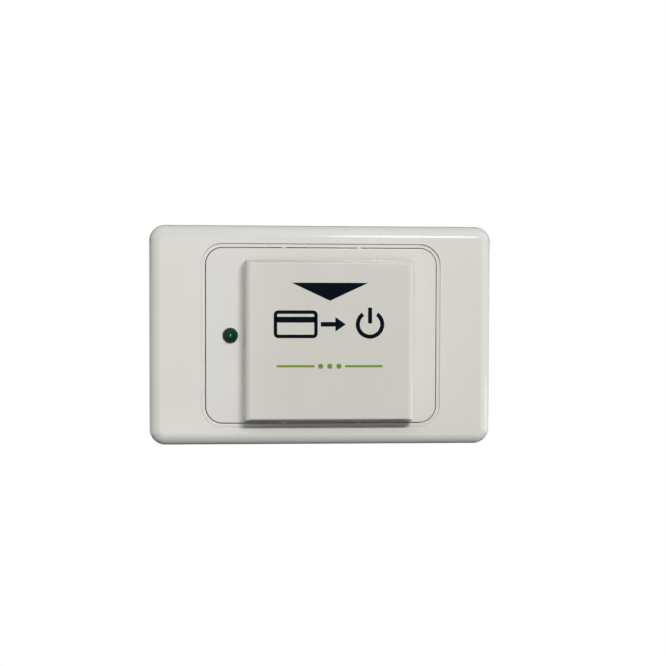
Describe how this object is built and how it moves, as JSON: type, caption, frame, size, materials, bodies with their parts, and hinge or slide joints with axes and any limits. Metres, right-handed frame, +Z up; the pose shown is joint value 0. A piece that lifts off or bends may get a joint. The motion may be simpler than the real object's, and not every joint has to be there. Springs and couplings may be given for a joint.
{
  "type": "key card switch",
  "caption": "Wide white wall plate with a raised card pocket, a small indicator lamp beside it and a sprung lever behind, which switches room power when a key card is pushed in.",
  "frame": {"origin": "midway between the two wall fixing holes, on the wall face", "axes": "+X to the right seen from the front, +Z up, -Y out of the wall towards the viewer"},
  "size_m": [0.116, 0.046, 0.0742],
  "materials": {
    "plate_plastic": "glossy moulded white",
    "panel_plastic": "glossy moulded white",
    "holder_plastic": "glossy moulded warm white",
    "lever_nylon": "moulded nylon",
    "steel": "zinc plated",
    "spring_steel": "drawn wire",
    "black_plastic": "moulded black",
    "plunger_plastic": "moulded red",
    "tinned_brass": "tinned",
    "green_lens": "clear green epoxy, unlit",
    "spacer_nylon": "moulded nylon",
    "board_laminate": "solder mask",
    "relay_plastic": "moulded blue",
    "capacitor_case": "moulded yellow",
    "capacitor_sleeve": "shrink sleeve",
    "varistor_coat": "dipped coat",
    "resistor_coat": "cement coat",
    "resistor_beige": "lacquer coat",
    "case_plastic": "fine grained pale grey",
    "terminal_plastic": "moulded black",
    "brass": "machined"
  },
  "bodies": {
    "body": {"surround": "plate_plastic", "grid_plate": "panel_plastic", "card_holder": "holder_plastic", "lever_pin": "steel", "pin_clip": "steel", "lever_spring": "spring_steel", "switch_base": "black_plastic", "switch_cover": "black_plastic", "switch_terminals": "tinned_brass", "indicator_led": "green_lens", "led_leads": "tinned_brass", "led_spacer": "spacer_nylon", "circuit_board": "board_laminate", "board_screws": "steel", "relay_base": "black_plastic", "relay_cover": "relay_plastic", "film_capacitor": "capacitor_case", "smoothing_capacitor": "capacitor_sleeve", "varistor": "varistor_coat", "fusible_resistor": "resistor_coat", "bridge_rectifier": "black_plastic", "timer_chip": "black_plastic", "resistors": "resistor_beige", "rear_case": "case_plastic", "case_screws": "steel", "terminal_block": "terminal_plastic", "terminal_clamps": "brass", "terminal_screws": "steel"},
    "lever": {"card_lever": "lever_nylon"},
    "plunger": {"switch_plunger": "plunger_plastic"}
  },
  "joints": [
    {"name": "lever_swing", "type": "hinge", "parent": "body", "child": "lever", "pos_m": [0.0022, 0, -0.015], "axis": [1, 0, 0], "range_deg": [0, 12], "stiffness_Nm_per_rad": 0.0088, "springref_deg": -1.72, "deforming": ["lever_spring"]},
    {"name": "plunger_slide", "type": "slide", "parent": "body", "child": "plunger", "axis": [0, 0, 1], "range_m": [0, 0.0009848]}
  ],
  "couplings": [
    {"joint": "lever_swing", "follows": "plunger_slide", "rad_per_m": 212.66}
  ]
}
